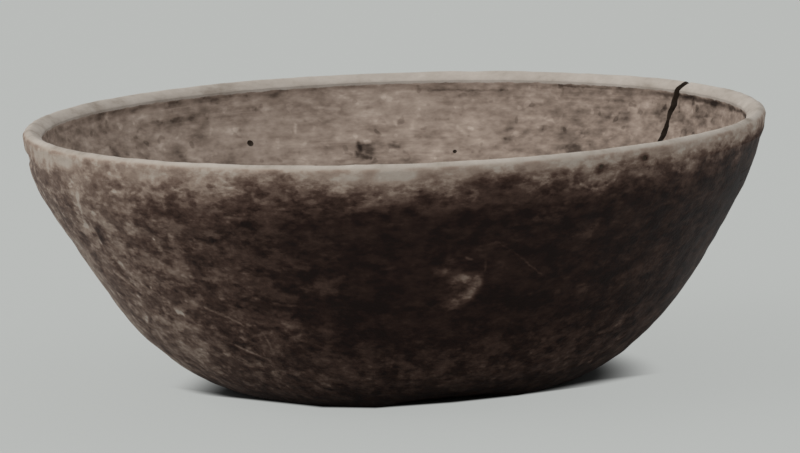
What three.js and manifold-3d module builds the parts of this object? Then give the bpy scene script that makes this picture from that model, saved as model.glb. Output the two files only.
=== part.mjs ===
// Wheel-thrown earthenware bowl with a thin red slip inside and outside,
// a bare worn lip and an old crack that runs down through the rim.
// Millimetres, +Z up, origin at the centre of the flat base.
import * as THREE from 'three';
import { mergeVertices } from 'three/addons/utils/BufferGeometryUtils.js';
import Module from 'manifold-3d';

const wasm = await Module();
wasm.setup();

// Outside of the bowl
const RIM_RADIUS = 110;
const HEIGHT = 79.2;
const BASE_RADIUS = 49;
const BASE_SLOPE = 14.4; // degrees from level, where the wall leaves the base
const BASE_PULL = 29.5; // how strongly the wall keeps that slope
const SHOULDER_INSET = 5.3; // the shoulder is where the flare starts to stand up
const SHOULDER_DROP = 19.9; // below the crest of the lip
const SHOULDER_SLOPE = 60; // degrees from level
const SHOULDER_PULL = 24;
const RIM_SLOPE = 83; // degrees from level, just under the lip

// Thickness of the wall
const RIM_WALL = 4.7;
const KNEE_WALL = 8.0; // where the wall meets the floor
const FLOOR_THICKNESS = 5.2;
const FLOOR_FLAT_RADIUS = 25;

// Lip: a small outer round, a wider slope inwards and a shallow groove below it
const LIP_WIDTH = 5.5;
const LIP_OUTER_ROUND = 2.1;
const LIP_INNER_DROP = 2.4;
const GROOVE_HEIGHT = 1.5;

// Slip coats, which stop short of the worn lip and of the resting face
const SLIP_THICKNESS = 0.5;
const BOND_GAP = 0.3;
const OUTER_SLIP_DROP = 6.5; // bare height below the crest, outside
const INNER_SLIP_DROP = 5.5; // bare height below the crest, inside
const SLIP_FOOT = 0.9; // bare height above the resting face

// Crack: its line is given as drift around the bowl and depth below the crest
const CRACK_AZIMUTH = 33; // degrees from +X towards +Y
const CRACK_WIDTH = 2.9;
const CRACK_LINE = [
  [0, 0],
  [0.4, 2.6],
  [2.9, 6],
  [3.4, 11],
  [5.2, 17.5],
  [5.0, 26],
  [7.6, 38],
  [7.4, 48],
  [9.0, 58],
];
const CRACK_OVERRUN = 3; // how far the cut runs past the lip

// Fineness of the facets and of the search for a height
const LATHE_STEPS = 64;
const WALL_STEPS = 12;
const LIP_STEPS = 4;
const SEARCH_TOLERANCE = 1e-6;
const HANDLE_SHARE = 1 / 3; // an even curve's handles are a third of its chord

const direction = (degrees) => {
  const angle = THREE.MathUtils.degToRad(degrees);
  return new THREE.Vector2(Math.cos(angle), Math.sin(angle));
};

const bezier = (start, startSlope, startPull, end, endSlope, endPull) => {
  const startHandle = start.clone().addScaledVector(direction(startSlope), startPull);
  const endHandle = end.clone().addScaledVector(direction(endSlope), -endPull);
  return new THREE.CubicBezierCurve(start, startHandle, endHandle, end);
};

const chain = (...curves) => {
  const path = new THREE.CurvePath();
  curves.forEach((curve) => path.add(curve));
  return path;
};

// Outside face, from the edge of the base up to the widest point of the lip
const baseEdge = new THREE.Vector2(BASE_RADIUS, 0);
const shoulder = new THREE.Vector2(RIM_RADIUS - SHOULDER_INSET, HEIGHT - SHOULDER_DROP);
const rimEdge = new THREE.Vector2(RIM_RADIUS, HEIGHT - LIP_OUTER_ROUND);
const bandPull = shoulder.distanceTo(rimEdge) * HANDLE_SHARE;
const outerFace = chain(
  bezier(baseEdge, BASE_SLOPE, BASE_PULL, shoulder, SHOULDER_SLOPE, SHOULDER_PULL),
  bezier(shoulder, SHOULDER_SLOPE, bandPull, rimEdge, RIM_SLOPE, bandPull),
);

// Point of a face at a share of its length, moved to the left of the face's direction
function beside(face, share, distance) {
  const point = face.getPointAt(share);
  const tangent = face.getTangentAt(share);
  return new THREE.Vector2(point.x - distance * tangent.y, point.y + distance * tangent.x);
}

// Inside face, from the middle of the floor up: flat floor, knee, then a wall
// that follows the outside at a thickness that grows towards the base
const insideWall = [];
for (let step = 0; step <= WALL_STEPS; step += 1) {
  const share = step / WALL_STEPS;
  insideWall.push(beside(outerFace, share, THREE.MathUtils.lerp(KNEE_WALL, RIM_WALL, share)));
}
const floorEdge = new THREE.Vector2(FLOOR_FLAT_RADIUS, FLOOR_THICKNESS);
const kneePull = floorEdge.distanceTo(insideWall[0]) * HANDLE_SHARE;
const innerFace = chain(
  new THREE.LineCurve(new THREE.Vector2(0, FLOOR_THICKNESS), floorEdge),
  bezier(floorEdge, 0, kneePull, insideWall[0], BASE_SLOPE, kneePull),
  new THREE.SplineCurve(insideWall),
);

// Share of a face's length at which it reaches a height
function shareAt(face, height) {
  let low = 0;
  let high = 1;
  while (high - low > SEARCH_TOLERANCE) {
    const middle = (low + high) / 2;
    if (face.getPointAt(middle).y < height) low = middle;
    else high = middle;
  }
  return low;
}

// Evenly spaced points along a face, at one distance to its left
function stretch(face, from, to, distance, steps) {
  const points = [];
  for (let step = 0; step <= steps; step += 1) {
    points.push(beside(face, THREE.MathUtils.lerp(from, to, step / steps), distance));
  }
  return points;
}

// The slip lies in a seat as deep as the slip and its bond, with a bond gap at its edges
const seat = SLIP_THICKNESS + BOND_GAP;
const outerLow = shareAt(outerFace, SLIP_FOOT);
const outerHigh = shareAt(outerFace, HEIGHT - OUTER_SLIP_DROP);
const innerHigh = shareAt(innerFace, HEIGHT - INNER_SLIP_DROP);
const grooveLow = shareAt(innerFace, HEIGHT - LIP_INNER_DROP - GROOVE_HEIGHT);
const outerGap = BOND_GAP / outerFace.getLength();
const innerGap = BOND_GAP / innerFace.getLength();

function lipOutline() {
  const crestRadius = RIM_RADIUS - LIP_OUTER_ROUND;
  const quarter = (width, drop, start) => new THREE.EllipseCurve(
    crestRadius, HEIGHT - drop, width, drop, start, start + Math.PI / 2);
  const outerRound = quarter(LIP_OUTER_ROUND, LIP_OUTER_ROUND, 0);
  const innerSlope = quarter(LIP_WIDTH - LIP_OUTER_ROUND, LIP_INNER_DROP, Math.PI / 2);
  return [...outerRound.getPoints(LIP_STEPS), ...innerSlope.getPoints(LIP_STEPS).slice(1)];
}

function clayOutline() {
  return [
    new THREE.Vector2(0, 0),
    beside(outerFace, 0, 0),
    beside(outerFace, outerLow - outerGap, 0),
    ...stretch(outerFace, outerLow - outerGap, outerHigh + outerGap, seat, WALL_STEPS),
    beside(outerFace, outerHigh + outerGap, 0),
    ...lipOutline(),
    beside(innerFace, grooveLow, 0),
    beside(innerFace, innerHigh + innerGap, 0),
    ...stretch(innerFace, 0, innerHigh + innerGap, -seat, WALL_STEPS).reverse(),
  ];
}

function outerSlipOutline() {
  const face = stretch(outerFace, outerLow, outerHigh, 0, WALL_STEPS);
  const back = stretch(outerFace, outerLow, outerHigh, SLIP_THICKNESS, WALL_STEPS).reverse();
  return [...face, ...back, face[0].clone()];
}

function innerSlipOutline() {
  const back = stretch(innerFace, 0, innerHigh, -SLIP_THICKNESS, WALL_STEPS);
  const face = stretch(innerFace, 0, innerHigh, 0, WALL_STEPS).reverse();
  return [...back, ...face];
}

function solidFrom(geometry) {
  geometry.deleteAttribute('normal');
  geometry.deleteAttribute('uv');
  const merged = mergeVertices(geometry);
  const corners = Array.from(merged.index.array);
  const triangles = [];
  for (let i = 0; i < corners.length; i += 3) {
    const [a, b, c] = corners.slice(i, i + 3);
    if (a !== b && b !== c && c !== a) triangles.push(a, b, c);
  }
  return new wasm.Manifold(new wasm.Mesh({
    numProp: 3,
    vertProperties: new Float32Array(merged.attributes.position.array),
    triVerts: new Uint32Array(triangles),
  }));
}

function geometryFrom(solid) {
  const mesh = solid.getMesh();
  const geometry = new THREE.BufferGeometry();
  geometry.setAttribute('position', new THREE.BufferAttribute(mesh.vertProperties, 3));
  geometry.setIndex(new THREE.BufferAttribute(mesh.triVerts, 1));
  geometry.computeVertexNormals();
  return geometry;
}

function turned(outline) {
  return solidFrom(new THREE.LatheGeometry(outline, LATHE_STEPS).rotateX(Math.PI / 2));
}

// The crack is a ragged blade, full width through the lip and drawn to a point below,
// pushed out through the wall from the hollow of the bowl
function crackBlade() {
  const [tipDrift, tipDepth] = CRACK_LINE.at(-1);
  const [lipDrift] = CRACK_LINE[0];
  const edge = (side) => CRACK_LINE.slice(0, -1).map(([drift, depth]) => {
    const half = (CRACK_WIDTH / 2) * Math.sqrt(1 - depth / tipDepth);
    return new THREE.Vector2(drift + side * half, HEIGHT - depth);
  });
  const top = (side) => new THREE.Vector2(lipDrift + side * CRACK_WIDTH / 2, HEIGHT + CRACK_OVERRUN);
  const tip = new THREE.Vector2(tipDrift, HEIGHT - tipDepth);
  const outline = new THREE.Shape([top(-1), ...edge(-1), tip, ...edge(1).reverse(), top(1)]);
  const depth = RIM_RADIUS + CRACK_OVERRUN - BASE_RADIUS;
  const blade = new THREE.ExtrudeGeometry(outline, { depth, bevelEnabled: false });
  const outwards = new THREE.Vector3(1, 0, 0);
  const around = new THREE.Vector3(0, 1, 0);
  const up = new THREE.Vector3(0, 0, 1);
  blade.applyMatrix4(new THREE.Matrix4().makeBasis(around, up, outwards));
  blade.translate(BASE_RADIUS, 0, 0);
  return solidFrom(blade.rotateZ(THREE.MathUtils.degToRad(CRACK_AZIMUTH)));
}

const bareClay = new THREE.MeshStandardMaterial({ color: 0xb08d75, roughness: 0.9, metalness: 0 });
const darkSlip = new THREE.MeshStandardMaterial({ color: 0x4a2a20, roughness: 0.6, metalness: 0 });
const wornSlip = new THREE.MeshStandardMaterial({ color: 0x94705c, roughness: 0.7, metalness: 0 });

const crack = crackBlade();
const bowl = new THREE.Group();

function addPiece(name, outline, material) {
  const piece = new THREE.Mesh(geometryFrom(turned(outline).subtract(crack)), material);
  piece.name = name;
  bowl.add(piece);
}

addPiece('clay_body', clayOutline(), bareClay);
addPiece('outer_slip', outerSlipOutline(), darkSlip);
addPiece('inner_slip', innerSlipOutline(), wornSlip);

export default bowl;
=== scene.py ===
import math

import bmesh
import bpy
import numpy as np
from mathutils import Color, Matrix, Quaternion, Vector, noise
from mathutils.geometry import interpolate_bezier


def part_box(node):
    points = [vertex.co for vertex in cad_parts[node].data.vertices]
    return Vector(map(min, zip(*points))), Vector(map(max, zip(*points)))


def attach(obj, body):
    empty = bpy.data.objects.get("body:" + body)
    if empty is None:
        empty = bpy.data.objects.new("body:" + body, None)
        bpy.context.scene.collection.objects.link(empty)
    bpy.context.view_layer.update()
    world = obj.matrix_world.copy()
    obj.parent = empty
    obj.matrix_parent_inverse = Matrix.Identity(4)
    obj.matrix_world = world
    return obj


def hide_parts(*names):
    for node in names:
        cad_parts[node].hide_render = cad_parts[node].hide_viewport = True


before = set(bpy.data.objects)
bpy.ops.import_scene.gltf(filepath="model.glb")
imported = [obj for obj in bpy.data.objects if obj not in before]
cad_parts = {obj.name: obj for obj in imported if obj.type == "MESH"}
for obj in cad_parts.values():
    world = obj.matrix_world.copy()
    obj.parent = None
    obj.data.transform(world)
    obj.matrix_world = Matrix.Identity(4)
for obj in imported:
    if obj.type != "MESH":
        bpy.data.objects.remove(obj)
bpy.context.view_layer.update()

_, body_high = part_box("clay_body")

# Sizes of the bowl, in metres
MM = 0.001
RIM_RADIUS = body_high.x
HEIGHT = body_high.z
BASE_RADIUS = 49 * MM
BASE_SLOPE = 14.4  # degrees from level, where the wall leaves the base
BASE_PULL = 29.5 * MM
SHOULDER_INSET = 5.3 * MM
SHOULDER_DROP = 19.9 * MM
SHOULDER_SLOPE = 60
SHOULDER_PULL = 24 * MM
RIM_SLOPE = 83
HANDLE_SHARE = 1 / 3
RIM_WALL = 4.7 * MM
KNEE_WALL = 8.0 * MM
FLOOR_THICKNESS = 5.2 * MM
FLOOR_FLAT_RADIUS = 25 * MM
LIP_WIDTH = 5.5 * MM
LIP_OUTER_ROUND = 2.1 * MM
LIP_INNER_DROP = 2.4 * MM
LIP_STRAIGHTNESS = 1.5  # of the slope inwards: 1 is a quarter of an ellipse, 2 is straight
GROOVE_HEIGHT = 1.5 * MM
GROOVE_LOW = HEIGHT - LIP_INNER_DROP - GROOVE_HEIGHT
SLIP_THICKNESS = 0.5 * MM
SLIP_SEAT = 0.52 * MM  # how deep the clay lies under the face of the slip
OUTER_SLIP_EDGE = HEIGHT - 6.5 * MM
INNER_SLIP_EDGE = HEIGHT - 5.5 * MM
SLIP_FOOT = 0.9 * MM

# Fineness of the turned pieces
TURN_STEPS = 420
WALL_ROWS = 124
BAND_ROWS = 32
KNEE_ROWS = 20
FLOOR_ROWS = 10
LIP_ROWS = 12
BASE_ROWS = 12
HIDDEN_STEP = 6  # a hidden face keeps one row in this many
MERGE_DISTANCE = 0.001 * MM
SHARP_ANGLE = math.radians(40)

# Crack: drift around the bowl and depth below the crest in millimetres, and share of the full width
CRACK_ANGLE = 33  # degrees from +X towards +Y
BLADE_ANGLE = -90  # where the blade is made, before it is turned to the crack
CRACK_WIDTH = 2.9 * MM
CRACK_LINE = [
    (0, 0, 1.0), (1.4, 2.6, 0.95), (2.6, 5, 1.05), (2.8, 7, 1.15), (3.7, 9, 0.95), (4.1, 11.6, 0.55),
    (3.7, 13.4, 0.95), (3.9, 15.6, 1.1), (4.3, 17.5, 0.95), (5.0, 26, 1.0), (7.6, 38, 1.0),
    (7.4, 48, 1.0), (9.0, 58, 1.0)]
CRACK_CUTS = 4  # pieces into which each stretch of an edge is cut
CRACK_RAGGED = 0.35 * MM
CRACK_OVERRUN = 3 * MM
RAG_PITCH = 0.9  # how fast an edge wavers, per millimetre of depth
RAG_APART = 7.3  # keeps the two edges from wavering alike
OFF_GRID = 0.4  # keeps the noise off its own grid, where it is nought

# Small holes: angle in degrees, height and radius in millimetres
INNER_PITS = [(117.0, 60.8, 1.1), (78.8, 55.4, 0.65)]
OUTER_PITS = [(302.0, 74.4, 0.8), (310.0, 75.4, 0.75)]
PIT_FINENESS = 2  # how often the faces of a bead are divided

# Camera, found by fitting the outline of the bowl
CAMERA_PLACE = Vector((0, -1780.6, 303.6)) * MM
CAMERA_AIM = Vector((0.7, 0, 45.9)) * MM
CAMERA_ROLL = 1.85  # degrees
CAMERA_LENS = 272.0


def heading(slope):
    """Direction in section at a slope in degrees from level."""
    return Vector((math.cos(math.radians(slope)), 0, math.sin(math.radians(slope))))


def sweep(start, start_slope, start_pull, end, end_slope, end_pull, rows):
    """Smooth line in section between two points with given slopes."""
    start_handle = start + heading(start_slope) * start_pull
    end_handle = end - heading(end_slope) * end_pull
    return interpolate_bezier(start, start_handle, end_handle, end, rows)


def faced(line, side):
    """Rows of a face: each point of a line in section and the direction out of the clay there."""
    rows = []
    for i, point in enumerate(line):
        along = (line[min(i + 1, len(line) - 1)] - line[max(i - 1, 0)]).normalized()
        rows.append((point, Vector((-along.z, 0, along.x)) * side))
    return rows


def row_at(rows, height):
    """The row of a rising face at a height, between its neighbours."""
    for (point, out), (next_point, next_out) in zip(rows, rows[1:]):
        if point.z <= height < next_point.z:
            share = (height - point.z) / (next_point.z - point.z)
            return point.lerp(next_point, share), out.lerp(next_out, share)
    return rows[-1]


def between(rows, low, high):
    """The stretch of a rising face from one height to another."""
    middle = [row for row in rows if low < row[0].z < high]
    return [row_at(rows, low)] + middle + [row_at(rows, high)]


def outside_rows():
    base_edge = Vector((BASE_RADIUS, 0, 0))
    shoulder = Vector((RIM_RADIUS - SHOULDER_INSET, 0, HEIGHT - SHOULDER_DROP))
    rim_edge = Vector((RIM_RADIUS, 0, HEIGHT - LIP_OUTER_ROUND))
    band_pull = (rim_edge - shoulder).length * HANDLE_SHARE
    wall = sweep(base_edge, BASE_SLOPE, BASE_PULL, shoulder, SHOULDER_SLOPE, SHOULDER_PULL, WALL_ROWS)
    band = sweep(shoulder, SHOULDER_SLOPE, band_pull, rim_edge, RIM_SLOPE, band_pull, BAND_ROWS)
    return faced(wall + band[1:], -1)


def inside_rows(outside):
    wall = []
    for i, (point, out) in enumerate(outside):
        share = i / (len(outside) - 1)
        wall.append(point - out * (KNEE_WALL + (RIM_WALL - KNEE_WALL) * share))
    floor_edge = Vector((FLOOR_FLAT_RADIUS, 0, FLOOR_THICKNESS))
    floor_middle = Vector((0, 0, FLOOR_THICKNESS))
    floor = [floor_middle.lerp(floor_edge, i / FLOOR_ROWS) for i in range(FLOOR_ROWS)]
    knee_pull = (wall[0] - floor_edge).length * HANDLE_SHARE
    knee = sweep(floor_edge, 0, knee_pull, wall[0], BASE_SLOPE, knee_pull, KNEE_ROWS)
    return faced(floor + knee[:-1] + wall, 1)


def lip_rows():
    """From just past the widest point of the lip, over the crest, to its inner edge."""
    crest = RIM_RADIUS - LIP_OUTER_ROUND
    line = []
    for i in range(1, 2 * LIP_ROWS + 1):
        turn = math.pi / 2 * i / LIP_ROWS
        across, up = math.cos(turn), math.sin(turn)
        width, drop = LIP_OUTER_ROUND, LIP_OUTER_ROUND
        if i > LIP_ROWS:
            width, drop = LIP_WIDTH - LIP_OUTER_ROUND, LIP_INNER_DROP
            across, up = -(-across) ** LIP_STRAIGHTNESS, up ** LIP_STRAIGHTNESS
        line.append(Vector((crest + width * across, 0, HEIGHT - drop + drop * up)))
    return faced(line, -1)


def base_rows():
    down = Vector((0, 0, -1))
    return [(Vector((BASE_RADIUS * i / BASE_ROWS, 0, 0)), down) for i in range(BASE_ROWS)]


outside = outside_rows()
inside = inside_rows(outside)
outer_coat = between(outside, SLIP_FOOT, OUTER_SLIP_EDGE)
inner_coat = [row for row in inside if row[0].z < INNER_SLIP_EDGE] + [row_at(inside, INNER_SLIP_EDGE)]
bare_foot = between(outside, 0, SLIP_FOOT)
bare_band = between(outside, OUTER_SLIP_EDGE, HEIGHT - LIP_OUTER_ROUND)
bare_inside = between(inside, INNER_SLIP_EDGE, GROOVE_LOW)


OUTSIDE, ON_LIP, INSIDE = 0.0, 0.5, 1.0  # how far a face counts as inside the bowl


def seen(rows, within):
    """Outline entries of a face that shows: point, direction out, whether it shows, whether inside."""
    return [(point, out, 1.0, within) for point, out in rows]


def unseen(rows, depth):
    """Outline entries of a hidden face, sunk into the clay, with fewer rows."""
    few = rows[:-1:HIDDEN_STEP] + rows[-1:]
    return [(point - out * depth, out, 0.0, OUTSIDE) for point, out in few]


def clay_outline():
    return (
        seen(base_rows(), OUTSIDE) + seen(bare_foot, OUTSIDE) + unseen(outer_coat, SLIP_SEAT)
        + seen(bare_band, OUTSIDE) + seen(lip_rows(), ON_LIP) + seen(bare_inside[::-1], INSIDE)
        + unseen(inner_coat[::-1], SLIP_SEAT))


def outer_coat_outline():
    return seen(outer_coat, OUTSIDE) + unseen(outer_coat[::-1], SLIP_THICKNESS)


def inner_coat_outline():
    return unseen(inner_coat, SLIP_THICKNESS) + seen(inner_coat[::-1], INSIDE)


def turned(outline, closed):
    """An outline turned once round the axis, with what each entry says kept on its vertices."""
    bm = bmesh.new()
    facing = bm.verts.layers.float_vector.new("facing")
    shows = bm.verts.layers.float.new("shows")
    within = bm.verts.layers.float.new("within")
    verts = []
    for point, out, is_seen, is_inside in outline:
        vert = bm.verts.new(point)
        vert[facing] = out
        vert[shows] = is_seen
        vert[within] = is_inside
        verts.append(vert)
    edges = [bm.edges.new(pair) for pair in zip(verts, verts[1:])]
    if closed:
        edges.append(bm.edges.new((verts[-1], verts[0])))
    bmesh.ops.spin(
        bm, geom=verts + edges, cent=(0, 0, 0), axis=(0, 0, 1), dvec=(0, 0, 0),
        angle=2 * math.pi, steps=TURN_STEPS, use_merge=True)
    bmesh.ops.remove_doubles(bm, verts=bm.verts, dist=MERGE_DISTANCE)
    bmesh.ops.recalc_face_normals(bm, faces=bm.faces)
    return bm


# Unevenness of the hand-thrown wall
SWELL = 0.5 * MM
SWELL_TURNS = 1.2  # how often the wall swells and shrinks round the bowl
SWELL_PLACE = Vector((3, 1, 0))  # where in the noise the swelling is read
RIDGE_HEIGHT = 3.4 * MM
LUMP_SIZE = 13 * MM
DIMPLE_SIZE = 4.5 * MM
OUTER_RELIEF = {"ridge": 0.06 * MM, "lump": 0.18 * MM, "dimple": 0.24 * MM}
INNER_RELIEF = {"ridge": 0.13 * MM, "lump": 0.10 * MM, "dimple": 0.06 * MM}
FLAT_FOOT = 4  # millimetres above the resting face in which the unevenness fades out

# Shallow hollows outside: angle, height, half width, half height and depth, in degrees and millimetres
HOLLOWS = [
    (302.5, 71.5, 7.5, 5.0, 0.45),
    (184, 71.4, 22, 2.6, 1.0),
    (209, 60, 3, 9, 0.22),
    (213, 44, 4, 8, 0.22),
    (281, 41, 8, 6, 0.20),
    (352, 65, 36, 9, 0.75),
    (188, 38, 30, 15, 0.6),
]

# The foot is worn rounder at the front: angle and half width in degrees, and how far its edge is raised
FOOT_LIFT = 2.0 * MM
FOOT_ANGLE, FOOT_HALF_WIDTH = 288, 26
FOOT_INNER = 38 * MM  # the resting face is untouched inside this radius
FOOT_HEIGHT = 14  # millimetres above the resting face at which the wall is as thrown


def rise(values, low, high):
    """From 0 at one value to 1 at another, with soft ends."""
    share = np.clip((values - low) / (high - low), 0, 1)
    return share * share * (3 - 2 * share)


def covered(angles, heights, marks):
    """Sum of the marks at each place: each is full at its middle and fades to nothing at its edge."""
    total = np.zeros(len(angles))
    for angle, height, half_width, half_height, amount in marks:
        turn = np.radians((angles - angle + 180) % 360 - 180)
        across = turn * RIM_RADIUS / MM / half_width
        up = (heights - height) / half_height
        total += amount * rise(1 - across * across - up * up, 0, 1)
    return total


def round_and_up(verts):
    """Angle in degrees, height in millimetres and distance from the axis of each vertex."""
    places = np.array([vert.co for vert in verts])
    angles = np.degrees(np.arctan2(places[:, 1], places[:, 0])) % 360
    return angles, places[:, 2] / MM, np.hypot(places[:, 0], places[:, 1])


def foot_lift(angles, heights, radii):
    """How far the worn edge of the foot lies above the floor."""
    around = (angles - FOOT_ANGLE) / FOOT_HALF_WIDTH
    extent = rise(1 - around * around, 0, 1) * rise(radii, FOOT_INNER, BASE_RADIUS)
    return FOOT_LIFT * extent * rise(heights, FOOT_HEIGHT, 0)


def swell(place):
    """How far the wall stands out of round at a place."""
    out = Vector((place.x, place.y, 0)).normalized()
    bulge = noise.noise(out * SWELL_TURNS + SWELL_PLACE + Vector((0, 0, place.z / HEIGHT)))
    return out * bulge * SWELL * place.z / HEIGHT


def relief(place, within):
    """How far the skin stands out of the smooth face at a place."""
    out = Vector((place.x, place.y, 0)).normalized()
    ridge = noise.noise(out + Vector((0, 0, place.z / RIDGE_HEIGHT)))
    lump = noise.noise(place / LUMP_SIZE)
    dimple = noise.noise(place / DIMPLE_SIZE)
    total = 0
    for size, name in ((ridge, "ridge"), (lump, "lump"), (dimple, "dimple")):
        total += size * (OUTER_RELIEF[name] + (INNER_RELIEF[name] - OUTER_RELIEF[name]) * within)
    return total


def roughen(bm):
    """Moves each vertex off the true turned shape, and those that show a little more."""
    facing = bm.verts.layers.float_vector["facing"]
    shows = bm.verts.layers.float["shows"]
    within = bm.verts.layers.float["within"]
    angles, heights, radii = round_and_up(bm.verts)
    hollows = covered(angles, heights, HOLLOWS) * MM
    lifts = foot_lift(angles, heights, radii)
    fades = rise(heights, 0, FLAT_FOOT)
    for vert, hollow, lift, fade in zip(bm.verts, hollows, lifts, fades):
        place = vert.co.copy()
        out = Vector((place.x, place.y, 0)).normalized() * vert[facing].x
        out.z = vert[facing].z
        vert.co += swell(place)
        vert.co.z += lift
        if vert[shows]:
            skin = relief(place, vert[within]) - hollow * (1 - vert[within])
            vert.co += out * skin * fade


def crack_edge(side):
    """One ragged edge of the crack, from above the lip to just short of its tip."""
    tip = CRACK_LINE[-1][1]
    edge = [Vector((CRACK_LINE[0][0] * MM + side * CRACK_WIDTH / 2, 0, HEIGHT + CRACK_OVERRUN))]
    for start, end in zip(CRACK_LINE, CRACK_LINE[1:]):
        for cut in range(CRACK_CUTS):
            drift, down, wide = Vector(start).lerp(Vector(end), cut / CRACK_CUTS)
            over = drift * MM
            half = wide * CRACK_WIDTH / 2 * math.sqrt(1 - down / tip)
            rag = noise.noise(Vector((side * RAG_APART, OFF_GRID, down * RAG_PITCH))) * CRACK_RAGGED
            edge.append(Vector((over + side * half + rag, 0, HEIGHT - down * MM)))
    return edge


def crack_blade(bm):
    """The crack's outline, pushed out through the wall from the hollow of the bowl."""
    tip = Vector((CRACK_LINE[-1][0] * MM, 0, HEIGHT - CRACK_LINE[-1][1] * MM))
    outline = crack_edge(-1) + [tip] + crack_edge(1)[::-1]
    face = bm.faces.new([bm.verts.new(point + Vector((0, -BASE_RADIUS, 0))) for point in outline])
    pushed = bmesh.ops.extrude_face_region(bm, geom=[face])["geom"]
    far = [item for item in pushed if isinstance(item, bmesh.types.BMVert)]
    bmesh.ops.translate(bm, verts=far, vec=(0, BASE_RADIUS - RIM_RADIUS - CRACK_OVERRUN, 0))
    bmesh.ops.rotate(
        bm, verts=bm.verts, cent=(0, 0, 0),
        matrix=Matrix.Rotation(math.radians(CRACK_ANGLE - BLADE_ANGLE), 3, "Z"))


def on_face(rows, angle, height):
    """The place on a face at an angle in degrees and a height in millimetres."""
    radius = row_at(rows, height * MM)[0].x
    turn = math.radians(angle)
    return Vector((radius * math.cos(turn), radius * math.sin(turn), height * MM))


def pit_beads(bm):
    for pits, rows in ((INNER_PITS, inside), (OUTER_PITS, outside)):
        for angle, height, size in pits:
            place = Matrix.Translation(on_face(rows, angle, height))
            bmesh.ops.create_icosphere(bm, subdivisions=PIT_FINENESS, radius=size * MM, matrix=place)


def damage_tool():
    """All that is missing from the bowl, as one object to cut with, whose faces say so."""
    bm = bmesh.new()
    broken = bm.faces.layers.float.new("broken")
    crack_blade(bm)
    pit_beads(bm)
    bmesh.ops.recalc_face_normals(bm, faces=bm.faces)
    for face in bm.faces:
        face[broken] = 1.0
    return add_object("damage", bm)


def add_object(name, bm):
    mesh = bpy.data.meshes.new(name)
    bm.to_mesh(mesh)
    bm.free()
    added = bpy.data.objects.new(name, mesh)
    bpy.context.scene.collection.objects.link(added)
    return added


def cut(piece, tool):
    modifier = piece.modifiers.new("damage", "BOOLEAN")
    modifier.operation = "DIFFERENCE"
    modifier.solver = "EXACT"
    modifier.object = tool
    evaluated = piece.evaluated_get(bpy.context.evaluated_depsgraph_get())
    mesh = bpy.data.meshes.new_from_object(evaluated)
    piece.modifiers.clear()
    piece.data = mesh


def add_piece(name, outline, closed, tool):
    bm = turned(outline, closed)
    roughen(bm)
    bm.faces.layers.float.new("broken")
    piece = add_object(name, bm)
    cut(piece, tool)
    piece.data.shade_smooth()
    piece.data.set_sharp_from_angle(angle=SHARP_ANGLE)
    return piece


tool = damage_tool()
clay = add_piece("bare_clay_body", clay_outline(), False, tool)
outer = add_piece("outer_slip_coat", outer_coat_outline(), True, tool)
inner = add_piece("inner_slip_coat", inner_coat_outline(), False, tool)
bpy.data.objects.remove(tool)


# How worn the outside is, with painted light: along the left, partly wear and partly painted light from
# the left, in a band under the lip, and paler lower down near the base
CENTRE_WEAR = 0.075
# Paler along the left: partly wear, partly painted light from the left
LEFT_WEAR_AND_LIGHT = 0.54
LEFT_FROM, LEFT_TO = 268, 207  # degrees
BACK_FROM, BACK_TO = 60, 185
RIGHT_WEAR = 0.06
RIGHT_FROM, RIGHT_TO = 290, 330
BAND_LOW, BAND_HIGH = 61.5, 80.5  # millimetres
BAND_WEAR = 0.88
BAND_LOSS = 0.25  # how much weaker the band is on the left and right
NECK_LOW, NECK_HIGH = 72.5, 76.5  # the part of the band next to the lip is worn more
NECK_WEAR = 0.6
# Paler lower down the wall, from 34 mm down to 10 mm, except on the left
LOW_PALENESS = 0.19
LOW_FROM, LOW_TO = 34, 10  # millimetres, from the wall down to the foot
FOOT_LOW, FOOT_HIGH = -4, 12  # the foot stays dark
MOST_WEAR = 0.82  # some slip is left everywhere below the band
LIP_WEAR = 1.1
LIP_EDGE = 1.7  # millimetres below the crest at which the rubbed lip starts
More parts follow.
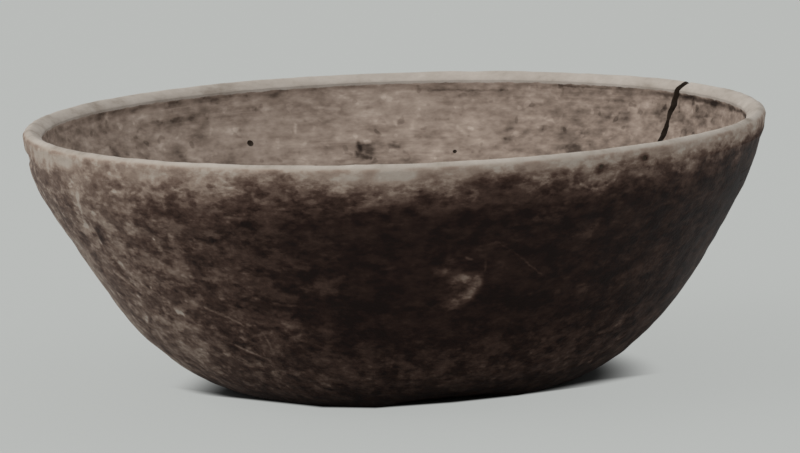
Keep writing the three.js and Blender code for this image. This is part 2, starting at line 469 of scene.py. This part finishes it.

# Places worn more or less, and two painted paler as light at the edges: angle in degrees, height and
# half sizes in millimetres, and how much
OUTER_PLACES = [
    # Left wall
    # Paler at the left edge: painted light from the left and painted reflection of the pale surroundings
    (184, 34, 44, 44, 0.20),
    (160, 30, 66, 38, 0.10),
    (168, 56, 34, 14, 0.08),
    (148, 18, 30, 16, 0.12),
    (220, 22, 14, 10, 0.12),
    (212, 27, 10, 8, 0.08),
    (224.5, 28.5, 9, 6, 0.15),
    (208.5, 37, 10, 11, 0.08),
    (215, 63, 24, 14, 0.12),
    (225, 7, 20, 7, -0.08),
    (198, 8, 14, 10, 0.26),
    (212.2, 53.5, 3, 4, -0.22),
    (213.5, 56, 5, 4, -0.12),
    # Front
    (250, 29, 8, 5, 0.16),
    (250.9, 44.5, 6, 2, 0.12),
    (256, 42, 8, 4, 0.14),
    # Pale patch at the front
    (277.0, 46.8, 4, 2.0, 0.10),
    (277.9, 48.6, 2.2, 5.4, 0.10),
    (278.8, 36.6, 5.5, 3.0, 0.14),
    (280.2, 37.6, 3.6, 2.2, 0.16),
    (280.9, 41.6, 6, 4.6, 0.18),
    (281.2, 43.9, 6.5, 2.6, 0.20),
    (282.4, 39.2, 3.6, 2.6, 0.22),
    (283.5, 41.2, 1.8, 2.8, 0.12),
    # Right wall
    (289.0, 56.8, 3, 3, 0.16),
    (294.2, 62.3, 8, 3, 0.16),
    (301.0, 56.2, 6, 4, 0.14),
    (305.0, 37.9, 5, 3, 0.15),
    (320.8, 23.6, 5, 3, 0.18),
    (340, 57, 16, 12, -0.07),
    # Paler at the right edge: painted reflection of the pale surroundings
    (350, 27, 36, 20, 0.16),
    # Band under the lip, from left to right
    (200, 75.5, 40, 3, 0.10),
    (210, 75.5, 8, 3, 0.10),
    (223.0, 71.4, 3, 2.2, -0.24),
    (228, 72, 8, 7, 0.12),
    (234.0, 65.4, 4, 3.2, -0.18),
    (237.9, 70.0, 3, 2.6, -0.18),
    (241, 70.5, 13, 6, 0.10),
    (246, 66.2, 6, 4, 0.14),
    (250, 74, 9, 5, -0.20),
    (253.8, 75.0, 4, 3, -0.20),
    (255, 72, 7, 5, -0.12),
    (262.5, 74.5, 5, 3, 0.10),
    (265, 71.5, 10, 6, 0.08),
    (268.4, 71.6, 5, 4, -0.07),
    (270, 73.5, 9, 6, 0.18),
    (280, 70, 8, 6, 0.08),
    (285, 72, 12, 6, -0.14),
    (299.6, 72.4, 3, 3, 0.12),
    (301.5, 71.5, 8, 6, 0.10),
    (301.8, 73.8, 2.6, 2.0, -0.50),
    (307, 72.5, 6, 5, -0.12),
    (309.8, 75.6, 2.0, 1.8, -0.45),
    (320, 73.5, 9, 6, 0.08),
    (350, 71, 25, 7, -0.10),
    # Back
    (40, 45, 60, 40, 0.25),
    (110, 25, 60, 30, 0.20),
]

# Places inside made darker or paler, given in the same way: stains, and broad changes of tone, of which
# the darker left side is painted shade
INNER_PLACES = [
    # Broad changes of tone; the darker tone on the left side is painted shade
    (160, 64, 75, 40, 0.03),
    (134, 73, 18, 3.4, -0.10),
    (122, 63, 9, 7, -0.10),
    (111, 61, 20, 9, -0.12),
    (99, 58.5, 10, 5, -0.10),
    (85, 62, 40, 12, -0.08),
    (85, 70, 9, 5, -0.12),
    (50, 67, 16, 13, 0.08),
    (37, 67, 10, 8, 0.10),
    (30, 72, 26, 9, 0.15),
    # Stains and the smudge at the back
    (148.0, 63.7, 2.4, 2.2, 0.32),
    (133, 70, 16, 1.2, 0.14),
    (131.8, 59.4, 3.2, 2.4, 0.18),
    (95.6, 56.4, 5, 3.2, 0.20),
    (95.0, 56.2, 10, 3.6, 0.16),
    (92, 62.4, 8, 1.8, 0.14),
    (89.6, 57.4, 3.6, 2.6, 0.14),
    (69.2, 62.3, 1.8, 1.2, 0.20),
    (69.0, 59.4, 2.0, 1.4, 0.20),
    (62.5, 62.5, 1.8, 1.4, 0.24),
    (55.4, 57.1, 5, 2.2, 0.24),
    (54, 60, 4, 4, 0.12),
]

# The dark line under the lip, partly dark slip left in the groove and partly painted shade under the
# lip's overhang: its height and half width, and how strong it is round the bowl
UNDER_LIP = 74.9 * MM
DARK_LINE_HALF_WIDTH = 1.3 * MM
LEAST_DARK_LINE = 0.2
LEFT_DARK_LINE, LEFT_FULL = (85, 120), 0.45  # degrees between which the dark line grows, and its full strength
RIGHT_DARK_LINE, RIGHT_FULL = (50, 30), 1.3


def outer_wear_and_light(angles, heights):
    """How much of the slip is rubbed off the outside at each place, with painted light: paler along the
    left and at the edges.
    """
    left = np.where(angles < BACK_TO, rise(angles, BACK_FROM, BACK_TO), rise(angles, LEFT_FROM, LEFT_TO))
    right = rise(angles, RIGHT_FROM, RIGHT_TO)
    wear_and_light = CENTRE_WEAR + LEFT_WEAR_AND_LIGHT * left + RIGHT_WEAR * right
    band = BAND_WEAR * rise(heights, BAND_LOW, BAND_HIGH) * (1 - BAND_LOSS * np.maximum(left, right))
    neck = NECK_WEAR * rise(heights, NECK_LOW, NECK_HIGH) * (1 - left)
    wear_and_light += (1 - wear_and_light) * band
    wear_and_light += (1 - wear_and_light) * neck
    wear_and_light += LOW_PALENESS * rise(heights, LOW_FROM, LOW_TO) * (1 - left)
    wear_and_light += covered(angles, heights, OUTER_PLACES)
    most = MOST_WEAR + (1 - MOST_WEAR) * rise(heights, BAND_LOW, NECK_HIGH)
    return np.minimum(wear_and_light, most) * rise(heights, FOOT_LOW, FOOT_HIGH)


def store_marks(piece):
    """Keeps, for each vertex, its wear with painted light, its stains with painted shade, the dark slip
    and painted shade of the line under the lip, and whether it is inside the lip.
    """
    angles, heights, radii = round_and_up(piece.data.vertices)
    crest = HEIGHT / MM
    extent = outer_wear_and_light(angles, heights)
    extent += (LIP_WEAR - extent) * rise(heights, crest - LIP_EDGE, crest)
    past_crest = (radii < RIM_RADIUS - LIP_OUTER_ROUND) & (heights * MM > INNER_SLIP_EDGE - SLIP_SEAT)
    within = past_crest * rise(heights * MM, HEIGHT - LIP_INNER_DROP, GROOVE_LOW)
    # How strong the dark line under the lip is round the bowl: dark slip in the groove, and painted
    # shade
    groove_slip_and_shade = np.maximum(rise(angles, *LEFT_DARK_LINE) * LEFT_FULL, rise(angles, *RIGHT_DARK_LINE) * RIGHT_FULL)
    marks = {
        "wear_and_light": np.where(past_crest, LIP_WEAR, extent),
        "stain_and_shade": covered(angles, heights, INNER_PLACES),
        "groove_slip_and_shade": np.maximum(LEAST_DARK_LINE, groove_slip_and_shade),
        "inside": within,
    }
    for name, values in marks.items():
        piece.data.attributes.new(name, "FLOAT", "POINT").data.foreach_set("value", values)


WHITE = 255


def paint(red, green, blue):
    """A colour as it is seen, from 0 to 255, as the linear values that a socket takes."""
    seen_colour = Color((red, green, blue)) / WHITE
    return (*seen_colour.from_srgb_to_scene_linear(), 1)


# Noise and marks on the bowl
RING_RADIUS = 64 * MM  # of the narrow cylinder on which the outside's noise is drawn
RING_LEAN = 0.35  # how much the distance from the axis counts as height there
WOBBLE_SCALE = 350
WOBBLE_DETAIL = 3.0
WOBBLE = 1.6 * MM  # span within which the edges of marks waver
NOISE_MIDDLE = 0.5
FLECK_DETAIL, FLECK_ROUGHNESS = 1, 0.5
MIX_FIRST, MIX_SECOND, MIX_RESULT = 6, 7, 2  # the sockets for colours on a Mix node


class Finish:
    """A material's node tree with short calls for the nodes that the finishes share."""

    def __init__(self, name):
        self.material = bpy.data.materials.new(name)
        self.material.use_nodes = True
        self.tree = self.material.node_tree
        self.shader = self.tree.nodes["Principled BSDF"]
        self.place = self.tree.nodes.new("ShaderNodeTexCoord").outputs["Object"]

    def join(self, value, socket):
        if isinstance(value, bpy.types.NodeSocket):
            self.tree.links.new(value, socket)
        else:
            socket.default_value = value

    def node(self, kind, **inputs):
        node = self.tree.nodes.new(kind)
        for name, value in inputs.items():
            self.join(value, node.inputs[name.replace("_", " ")])
        return node

    def calc(self, operation, first, second=0.0):
        node = self.tree.nodes.new("ShaderNodeMath")
        node.operation = operation
        self.join(first, node.inputs[0])
        self.join(second, node.inputs[1])
        return node.outputs[0]

    def scaled(self, value, factor):
        return self.calc("MULTIPLY", value, factor)

    def total(self, *values):
        result = values[0]
        for value in values[1:]:
            result = self.calc("ADD", result, value)
        return result

    def vector(self, operation, first, second):
        node = self.tree.nodes.new("ShaderNodeVectorMath")
        node.operation = operation
        self.join(first, node.inputs[0])
        self.join(second, node.inputs["Scale" if operation == "SCALE" else 1])
        return node.outputs["Value" if operation in ("DOT_PRODUCT", "DISTANCE") else "Vector"]

    def fade(self, value, low, high):
        """From 0 at one value to 1 at another, with soft ends."""
        node = self.node("ShaderNodeMapRange", Value=value, From_Min=low, From_Max=high)
        node.interpolation_type = "SMOOTHSTEP"
        return node.outputs[0]

    def cloud(self, scale, detail=5, roughness=0.6, stretch=(1, 1, 1), distortion=0.0, place=None):
        """Soft noise around zero."""
        where = self.node("ShaderNodeMapping", Vector=place or self.place, Scale=stretch).outputs[0]
        node = self.node(
            "ShaderNodeTexNoise", Vector=where, Scale=scale, Detail=detail, Roughness=roughness,
            Distortion=distortion)
        return self.calc("SUBTRACT", node.outputs[0], NOISE_MIDDLE)

    def grains(self, scale, size):
        """Small round grains, one to a cell."""
        node = self.node("ShaderNodeTexVoronoi", Vector=self.place, Scale=scale)
        return self.fade(node.outputs["Distance"], size, size / 2)

    def kept(self, name):
        """What a vertex or a face says of itself."""
        node = self.tree.nodes.new("ShaderNodeAttribute")
        node.attribute_name = name
        return node.outputs["Fac"]

    def height(self):
        return self.node("ShaderNodeSeparateXYZ", Vector=self.place).outputs["Z"]

    def drawn_round(self):
        """Places on a narrow cylinder, so that what is drawn on it is wide round the bowl."""
        level = self.vector("MULTIPLY", self.place, (1, 1, 0))
        ring = self.vector("SCALE", self.vector("NORMALIZE", level, (0, 0, 0)), RING_RADIUS)
        out = self.vector("DISTANCE", level, (0, 0, 0))
        along = self.total(self.height(), self.scaled(out, RING_LEAN))
        return self.vector("ADD", ring, self.node("ShaderNodeCombineXYZ", Z=along).outputs[0])

    def unrolled(self):
        """Places laid out flat: distance round the bowl and height, a little ragged."""
        parts = self.node("ShaderNodeSeparateXYZ", Vector=self.place)
        angle = self.calc("ARCTAN2", parts.outputs["Y"], parts.outputs["X"])
        flat = self.node("ShaderNodeCombineXYZ", X=self.scaled(angle, RIM_RADIUS), Z=parts.outputs["Z"])
        wobble = self.node(
            "ShaderNodeTexNoise", Vector=self.place, Scale=WOBBLE_SCALE, Detail=WOBBLE_DETAIL)
        centred = self.vector("SUBTRACT", wobble.outputs["Color"], [NOISE_MIDDLE] * 3)
        return self.vector("ADD", flat.outputs[0], self.vector("SCALE", centred, WOBBLE))

    def streaks(self, marks):
        """Sum of straight marks between two places, each with its half width and strength."""
        flat = self.unrolled()
        masks = []
        for angle, height, end_angle, end_height, half_width, strength in marks:
            start = flat_place(angle, height)
            along = flat_place(end_angle, end_height) - start
            from_start = self.vector("SUBTRACT", flat, start)
            share = self.vector("DOT_PRODUCT", from_start, along / along.length_squared)
            foot = self.vector("SCALE", along, self.held(share))
            away = self.vector("DISTANCE", from_start, foot)
            masks.append(self.scaled(self.fade(away, half_width * MM, 0.0), strength))
        return self.total(*masks)

    def flecks(self, scale, low, high, place=None):
        """Sharp-edged small flecks where fine noise passes a level."""
        return self.fade(self.cloud(scale, FLECK_DETAIL, FLECK_ROUGHNESS, place=place), low, high)

    def held(self, value):
        """The value, held between 0 and 1."""
        node = self.tree.nodes.new("ShaderNodeClamp")
        self.join(value, node.inputs["Value"])
        return node.outputs[0]

    def ramp(self, value, stops):
        """The colour at a value, between stops of position and colour."""
        node = self.node("ShaderNodeValToRGB", Fac=value)
        ramp = node.color_ramp
        ramp.elements[0].position, ramp.elements[0].color = stops[0]
        ramp.elements[1].position, ramp.elements[1].color = stops[-1]
        for position, colour in stops[1:-1]:
            ramp.elements.new(position).color = colour
        return node.outputs[0]

    def mix(self, share, first, second):
        node = self.tree.nodes.new("ShaderNodeMix")
        node.data_type = "RGBA"
        self.join(share, node.inputs["Factor"])
        self.join(first, node.inputs[MIX_FIRST])
        self.join(second, node.inputs[MIX_SECOND])
        return node.outputs[MIX_RESULT]

    def bump(self, height, distance):
        return self.node("ShaderNodeBump", Height=height, Distance=distance, Strength=1.0).outputs[0]


def flat_place(angle, height):
    """A place laid out flat: distance round the bowl and height."""
    turn = math.radians((angle + 180) % 360 - 180)
    return Vector((turn * RIM_RADIUS, 0, height * MM))


BOW_STEPS = 6


def bow(angle, height, half_width, drop, half_thick, strength):
    """Marks along a hanging arc, given by its middle top, half width in degrees and drop."""
    turns = [math.pi * (1 + i / BOW_STEPS) for i in range(BOW_STEPS + 1)]
    points = [(angle + half_width * math.cos(turn), height + drop * math.sin(turn)) for turn in turns]
    return [(*start, *end, half_thick, strength) for start, end in zip(points, points[1:])]


# Scratches, grains and flakes: angle and height of both ends, half width in millimetres, strength
OUTER_MARKS = [
    # Scratches and flakes on the left wall
    (211.8, 66.4, 209.2, 56.6, 1.5, 0.26),
    (211.5, 57.1, 211.0, 49.2, 1.3, 0.24),
    (209.8, 42.1, 215.0, 36.8, 1.3, 0.24),
    (209.2, 27.0, 210.8, 27.7, 1.0, 0.35),
    (219.5, 39.2, 219.7, 39.2, 0.9, 0.45),
    (223.4, 31.8, 224.6, 31.6, 1.3, 0.65),
    (227.2, 55.7, 227.3, 55.7, 0.9, 0.40),
    (228.5, 18.9, 230.8, 19.4, 1.2, 0.18),
    (231.8, 34.7, 238.8, 29.5, 0.8, 0.30),
    (234.0, 22.6, 240.8, 18.1, 0.8, 0.26),
    (237.0, 24.8, 244.5, 28.1, 1.0, 0.16),
    (240.5, 8.5, 243.5, 9.6, 1.4, 0.14),
    (242.5, 26.0, 242.7, 22.5, 1.0, 0.22),
    # Scratches at the front
    (247.0, 37.0, 251.0, 36.6, 0.8, 0.20),
    (252.2, 27.9, 256.8, 28.5, 1.2, 0.12),
    (257.5, 43.7, 260.8, 46.1, 0.9, 0.09),
    (267.5, 16.1, 268.5, 20.4, 0.9, 0.10),
    # Pale patch at the front
    (275.9, 47.0, 278.0, 46.6, 2.2, 0.11),
    (278.0, 54.4, 278.2, 50.8, 1.5, 0.10),
    (279.6, 45.2, 283.1, 44.8, 3.2, 0.23),
    (281.2, 50.4, 281.8, 49.9, 0.9, 0.34),
    (282.0, 38.0, 277.9, 35.7, 2.6, 0.08),
    (283.6, 42.8, 282.0, 38.0, 2.6, 0.34),
    (284.3, 48.6, 284.4, 46.4, 0.7, 0.18),
    # Long thin scratch beside it
    (283.0, 53.9, 285.5, 54.8, 0.5, 0.08),
    (285.5, 54.8, 288.0, 52.6, 0.5, 0.12),
    (288.0, 52.6, 290.5, 49.2, 0.5, 0.12),
    (290.5, 49.2, 295.0, 43.4, 0.6, 0.20),
] + bow(301.6, 72.4, 3.6, 4.2, 0.7, 0.16)
INNER_MARKS = [
    # Smudge at the back
    (95.4, 58.8, 94.6, 58.8, 1.0, 0.28),
    (96.7, 58.6, 96.5, 56.4, 1.4, -0.34),
    (97.3, 55.4, 94.8, 54.0, 1.1, -0.38),
    (90.8, 57.7, 89.4, 57.2, 1.4, -0.28),
    # Pale and dark strokes
    (138.7, 63.0, 137.6, 62.6, 1.0, 0.20),
    (107.8, 65.2, 108.0, 62.8, 0.9, 0.22),
    (103.0, 69.5, 99.5, 69.3, 0.8, 0.14),
    (98.2, 66.0, 96.8, 65.2, 0.9, 0.16),
    (82.6, 64.6, 80.4, 64.6, 0.8, -0.16),
    (78.6, 62.6, 77.0, 60.4, 1.1, 0.16),
    (84.0, 73.7, 70.0, 73.7, 0.6, -0.20),
    (62.0, 75.4, 50.0, 75.2, 0.6, -0.14),
]

# Colours of the outside by how worn it is, and of the inside by tone
SLIP_STOPS = [
    (0.0, paint(27, 16, 13)),
    (0.07, paint(35, 21, 17)),
    (0.18, paint(46, 31, 25)),
    (0.42, paint(74, 56, 48)),
    (0.66, paint(112, 93, 82)),
    (0.86, paint(150, 133, 120)),
    (1.0, paint(171, 160, 149)),
]
INSIDE_STOPS = [
    (0.0, paint(44, 35, 30)),
    (0.3, paint(90, 77, 68)),
    (0.6, paint(141, 125, 113)),
    (0.85, paint(172, 157, 145)),
    (1.0, paint(194, 181, 170)),
]
# Colour of the broken faces in the crack and pits: painted shade in these recesses
RECESS_SHADE_COLOUR = paint(74, 63, 54)
CREST_STOPS = [
    (0.2, paint(146, 136, 125)),
    (0.5, paint(172, 164, 155)),
    (0.8, paint(184, 177, 169)),
]

# Mottling of the outside: each noise by scale, detail and roughness, then how strongly it shows
DRIFT, DRIFT_STRENGTH = (45, 2, 0.5), 0.7
PATCH, PATCH_STRENGTH = (170, 4, 0.65), 1.3
FLAKE_EDGE, FLAKE_STRENGTH = 0.06, 0.42  # the patches again, with sharp edges
SPECK, SPECK_STRENGTH = (480, 3, 0.6), 2.3
PALE_FLECK, PALE_FLECK_STRENGTH = (330, 0.14, 0.22), 0.40  # a fleck by scale and the levels of its edge
DARK_FLECK, DARK_FLECK_STRENGTH = (300, -0.13, -0.21), -0.35
LIME, LIME_STRENGTH = (150, 0.09), 0.12  # pale grains by scale and size, seen where the slip is worn
LEAST_MOTTLE = 0.11
MOTTLE_GAIN = 1.12  # the mottling is strongest where the slip is half worn
UNMOTTLED_WEAR = 0.98

# Mottling of the inside, rings from the wheel, and how the dark line under the lip and the stains show,
# both partly painted shade
SIDEWAYS = (0.6, 0.6, 1.2)  # makes marks wider than they are high
INNER_DRIFT, INNER_DRIFT_STRENGTH = (40, 2), 0.45
INNER_PATCH, INNER_PATCH_STRENGTH = (190, 3, 0.6), 0.8
INNER_SPECK, INNER_SPECK_STRENGTH = (480, 2, 0.5), 0.6
INNER_PALE_FLECK, INNER_PALE_FLECK_STRENGTH = (300, 0.15, 0.23), 0.12
INNER_DARK_FLECK, INNER_DARK_FLECK_STRENGTH = (280, -0.15, -0.23), -0.16
RINGS, RINGS_STRENGTH = (1, 3, 0.6, (22, 22, 480), 0.4), 0.6  # with stretch and distortion
RING_GAPS, RING_GAP_EDGE = (28, 2), 0.12  # where the rings fade out
DARK_LINE_RAGGED, DARK_LINE_SHIFT = (1, 2, 0.5, (90, 90, 180)), 4 * MM
DARK_LINE_STRENGTH = -0.34
STAIN_AND_SHADE_MOTTLE = -2.0  # how much the mottling breaks up the stains and the painted shade
INNER_TONE = 0.65

# Bare clay: the rubbed crest of the lip and the edge at which the inside's colour starts
CREST_DEPTH = 1.2 * MM
CREST_RAGGED, CREST_SHIFT = (300, 4), 1.5 * MM
CREST_WEAR_FROM, CREST_WEAR_TO = 0.95, 1.08
CREST_PATCH, CREST_PATCH_STRENGTH = (110, 5, 0.65), 1.7
CREST_TONE = 0.55
INSIDE_RAGGED, INSIDE_SHIFT = (250, 4), 0.9
INSIDE_FROM, INSIDE_TO = 0.4, 0.6

# Surfaces: roughness, and the scale, detail and depth of the grain
SPECULAR = 0.11
OUTER_ROUGHNESS, OUTER_GRAIN, OUTER_DEPTH = 0.6, (900, 4), 0.22 * MM
INNER_ROUGHNESS, INNER_GRAIN, INNER_DEPTH = 0.75, (900, 4), 0.15 * MM
CLAY_ROUGHNESS, CLAY_GRAIN, CLAY_DEPTH = 0.85, (800, 5), 0.15 * MM
WORN_HOLLOW = 0.9  # how much lower worn places lie than the slip


def outside_colour(finish):
    """Colour of the outside by how worn it is, and the wear, broken up into flakes and specks."""
    wear_and_light = finish.kept("wear_and_light")
    place = finish.drawn_round()
    patches = finish.cloud(*PATCH, place=place)
    flakes = finish.calc("SUBTRACT", finish.fade(patches, -FLAKE_EDGE, FLAKE_EDGE), NOISE_MIDDLE)
    mottle = finish.total(
        finish.scaled(finish.cloud(*DRIFT, place=place), DRIFT_STRENGTH),
        finish.scaled(patches, PATCH_STRENGTH),
        finish.scaled(flakes, FLAKE_STRENGTH),
        finish.scaled(finish.cloud(*SPECK, place=place), SPECK_STRENGTH),
        finish.scaled(finish.flecks(*PALE_FLECK, place), PALE_FLECK_STRENGTH),
        finish.scaled(finish.flecks(*DARK_FLECK, place), DARK_FLECK_STRENGTH))
    half_worn = finish.scaled(wear_and_light, finish.calc("SUBTRACT", UNMOTTLED_WEAR, wear_and_light))
    strength = finish.total(LEAST_MOTTLE, finish.scaled(half_worn, MOTTLE_GAIN))
    lime = finish.scaled(finish.grains(*LIME), finish.scaled(wear_and_light, LIME_STRENGTH))
    extent = finish.total(wear_and_light, finish.scaled(mottle, strength), finish.streaks(OUTER_MARKS), lime)
    return finish.ramp(extent, SLIP_STOPS), extent


def inside_mottle(finish):
    return finish.total(
        finish.scaled(finish.cloud(*INNER_DRIFT), INNER_DRIFT_STRENGTH),
        finish.scaled(finish.cloud(*INNER_PATCH, SIDEWAYS), INNER_PATCH_STRENGTH),
        finish.scaled(finish.cloud(*INNER_SPECK, SIDEWAYS), INNER_SPECK_STRENGTH),
        finish.scaled(finish.flecks(*INNER_PALE_FLECK), INNER_PALE_FLECK_STRENGTH),
        finish.scaled(finish.flecks(*INNER_DARK_FLECK), INNER_DARK_FLECK_STRENGTH))


def dark_line_under_lip(finish):
    """How dark the ragged line under the lip is: dark slip left in the groove, and painted shade under
    the lip.
    """
    ragged = finish.total(finish.height(), finish.scaled(finish.cloud(*DARK_LINE_RAGGED), DARK_LINE_SHIFT))
    off_line = finish.calc("ABSOLUTE", finish.calc("SUBTRACT", ragged, UNDER_LIP))
    return finish.scaled(finish.fade(off_line, DARK_LINE_HALF_WIDTH, 0.0), finish.kept("groove_slip_and_shade"))


def inside_colour(finish):
    """Colour of the inside by its tone, and the tone: mottled, ringed, stained, painted with shade on
    the left, and darkened along the line under the lip, partly painted shade.
    """
    mottle = inside_mottle(finish)
    ring_share = finish.fade(finish.cloud(*RING_GAPS), -RING_GAP_EDGE, RING_GAP_EDGE)
    rings = finish.scaled(finish.cloud(*RINGS), ring_share)
    # Stains, and painted shade on the left side, darken the tone
    stain_and_shade = finish.scaled(finish.kept("stain_and_shade"), finish.total(1.0, finish.scaled(mottle, STAIN_AND_SHADE_MOTTLE)))
    # The tone is darkened along the line under the lip: dark slip in the groove, and painted shade under
    # the lip's overhang
    tone = finish.total(
        INNER_TONE, mottle, finish.scaled(rings, RINGS_STRENGTH), finish.streaks(INNER_MARKS),
        finish.scaled(dark_line_under_lip(finish), DARK_LINE_STRENGTH))
    tone = finish.calc("SUBTRACT", tone, stain_and_shade)
    return finish.ramp(tone, INSIDE_STOPS), tone


def finished(finish, colour, roughness, grain, depth):
    """Sets what the clay and the slip share: matte, darker on broken faces as painted shade in the crack
    and pits, finely grained.
    """
    finish.join(finish.mix(finish.kept("broken"), colour, RECESS_SHADE_COLOUR), finish.shader.inputs["Base Color"])
    finish.shader.inputs["Roughness"].default_value = roughness
    finish.shader.inputs["Specular IOR Level"].default_value = SPECULAR
    finish.join(finish.bump(grain, depth), finish.shader.inputs["Normal"])
    return finish.material


def outer_slip_finish():
    finish = Finish("dark_red_slip")
    colour, extent = outside_colour(finish)
    grain = finish.calc("SUBTRACT", finish.cloud(*OUTER_GRAIN), finish.scaled(extent, WORN_HOLLOW))
    return finished(finish, colour, OUTER_ROUGHNESS, grain, OUTER_DEPTH)


def inner_slip_finish():
    finish = Finish("worn_inside_slip")
    colour, tone = inside_colour(finish)
    grain = finish.total(finish.cloud(*INNER_GRAIN), tone)
    return finished(finish, colour, INNER_ROUGHNESS, grain, INNER_DEPTH)


def rubbed_crest(finish):
    """How much of the bare, rubbed crest shows, and its colour."""
    height = finish.total(finish.height(), finish.scaled(finish.cloud(*CREST_RAGGED), CREST_SHIFT))
    by_height = finish.fade(height, HEIGHT - CREST_DEPTH, HEIGHT)
    by_wear = finish.fade(finish.kept("wear_and_light"), CREST_WEAR_FROM, CREST_WEAR_TO)
    patchy = finish.scaled(finish.cloud(*CREST_PATCH, place=finish.drawn_round()), CREST_PATCH_STRENGTH)
    colour = finish.ramp(finish.total(CREST_TONE, patchy), CREST_STOPS)
    return finish.calc("MAXIMUM", by_height, by_wear), colour


def bare_clay_finish():
    finish = Finish("bare_worn_clay")
    outer_colour, _ = outside_colour(finish)
    inner_colour, _ = inside_colour(finish)
    rubbed, crest_colour = rubbed_crest(finish)
    edge = finish.total(finish.kept("inside"), finish.scaled(finish.cloud(*INSIDE_RAGGED), INSIDE_SHIFT))
    within = finish.fade(edge, INSIDE_FROM, INSIDE_TO)
    colour = finish.mix(within, finish.mix(rubbed, outer_colour, crest_colour), inner_colour)
    return finished(finish, colour, CLAY_ROUGHNESS, finish.cloud(*CLAY_GRAIN), CLAY_DEPTH)


def dress(piece, material, node):
    """Gives a piece its marks and finish, and puts it in the place of its node."""
    store_marks(piece)
    piece.data.materials.append(material)
    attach(piece, "root")
    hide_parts(node)


dress(clay, bare_clay_finish(), "clay_body")
dress(outer, outer_slip_finish(), "outer_slip")
dress(inner, inner_slip_finish(), "inner_slip")

# Stage: pale floor, soft light and the camera
FLOOR_HALF = 6.0
FLOOR_COLOUR = paint(186, 188, 186)
FLOOR_ROUGHNESS = 0.9
SHADOW_WHOLE, SHADOW_END = 57 * MM, 79 * MM  # distances from the axis at which the floor's shadow fades
SHADOW_SIDES = [  # straight sides: direction in degrees, then distance and softness in millimetres
    (165, 57.8, 11), (206, 59.3, 4.5), (218, 55.5, 3), (231, 50.2, 1.5), (255, 50, 1.5),
    (283, 46.5, 1.5), (293, 46.5, 1.5), (301, 48, 1.5), (315, 53.5, 5)]
SHADOW_COLOUR = paint(84, 85, 84)
MIRROR_NEAR, MIRROR_FAR = 90 * MM, 140 * MM  # the floor is seen pale in reflections beyond its shadow
FLOOR_GLOW = 0.88  # how much of the floor's own paleness the camera sees far out
SKY_COLOUR = paint(183, 185, 183)
SKY_STRENGTH = 0.78
KEY_POWER = 32
KEY_SIZE = 2.4
KEY_PLACE = Vector((-2.0, -0.9, 1.7))


def larger(tree, first, second):
    node = tree.nodes.new("ShaderNodeMath")
    node.operation = "MAXIMUM"
    tree.links.new(first, node.inputs[0])
    tree.links.new(second, node.inputs[1])
    return node.outputs[0]


def seeing_rays(tree):
    """1 for rays that see the background straight, then 1 for those that see it mirrored."""
    path = tree.nodes.new("ShaderNodeLightPath").outputs
    return path["Is Camera Ray"], larger(tree, path["Is Glossy Ray"], path["Is Transmission Ray"])


def pale_floor_finish():
    """A pale floor that keeps the bowl's shadow and is seen evenly pale outside it."""
    finish = Finish("pale_floor")
    finish.shader.inputs["Roughness"].default_value = FLOOR_ROUGHNESS
    finish.shader.inputs["Specular IOR Level"].default_value = 0.0
    from_axis = finish.vector("DISTANCE", finish.place, (0, 0, 0))
    lit = finish.fade(from_axis, SHADOW_WHOLE, SHADOW_END)
    for angle, distance, softness in SHADOW_SIDES:
        turn = math.radians(angle)
        out = finish.vector("DOT_PRODUCT", finish.place, (math.cos(turn), math.sin(turn), 0))
        beyond = finish.fade(out, (distance - softness) * MM, (distance + softness) * MM)
        lit = finish.calc("MAXIMUM", lit, beyond)
    finish.join(finish.mix(lit, SHADOW_COLOUR, FLOOR_COLOUR), finish.shader.inputs["Base Color"])
    straight, mirrored = seeing_rays(finish.tree)
    far = finish.fade(from_axis, MIRROR_NEAR, MIRROR_FAR)
    shown = finish.calc("MAXIMUM", finish.scaled(lit, straight), finish.scaled(far, mirrored))
    glow = finish.node("ShaderNodeEmission", Color=FLOOR_COLOUR)
    either = finish.node("ShaderNodeMixShader", Fac=finish.scaled(shown, FLOOR_GLOW))
    finish.tree.links.new(finish.shader.outputs[0], either.inputs[1])
    finish.tree.links.new(glow.outputs[0], either.inputs[2])
    finish.tree.links.new(either.outputs[0], finish.tree.nodes["Material Output"].inputs[0])
    return finish.material


def lay_floor():
    bm = bmesh.new()
    bmesh.ops.create_grid(bm, x_segments=1, y_segments=1, size=FLOOR_HALF)
    floor = add_object("floor", bm)
    floor.data.materials.append(pale_floor_finish())


def light_studio():
    """Even light from all round, one large soft lamp at the upper left, and a pale backdrop."""
    world = bpy.data.worlds.new("soft_sky")
    bpy.context.scene.world = world
    world.use_nodes = True
    tree = world.node_tree
    light = tree.nodes["Background"]
    light.inputs["Color"].default_value = (1, 1, 1, 1)
    light.inputs["Strength"].default_value = SKY_STRENGTH
    backdrop = tree.nodes.new("ShaderNodeBackground")
    backdrop.inputs["Color"].default_value = SKY_COLOUR
    either = tree.nodes.new("ShaderNodeMixShader")
    tree.links.new(larger(tree, *seeing_rays(tree)), either.inputs[0])
    tree.links.new(light.outputs[0], either.inputs[1])
    tree.links.new(backdrop.outputs[0], either.inputs[2])
    tree.links.new(either.outputs[0], tree.nodes["World Output"].inputs[0])
    lamp = bpy.data.lights.new("key", "AREA")
    lamp.energy = KEY_POWER
    lamp.size = KEY_SIZE
    key = bpy.data.objects.new("key", lamp)
    key.location = KEY_PLACE
    key.rotation_euler = (-KEY_PLACE).to_track_quat("-Z", "Y").to_euler()
    bpy.context.scene.collection.objects.link(key)


def set_camera():
    lens = bpy.data.cameras.new("camera")
    lens.lens = CAMERA_LENS
    camera = bpy.data.objects.new("camera", lens)
    camera.location = CAMERA_PLACE
    level = (CAMERA_AIM - CAMERA_PLACE).to_track_quat("-Z", "Y")
    camera.rotation_euler = (level @ Quaternion((0, 0, 1), -math.radians(CAMERA_ROLL))).to_euler()
    bpy.context.scene.collection.objects.link(camera)
    bpy.context.scene.camera = camera


lay_floor()
light_studio()
set_camera()
bpy.context.scene.view_settings.view_transform = "Standard"
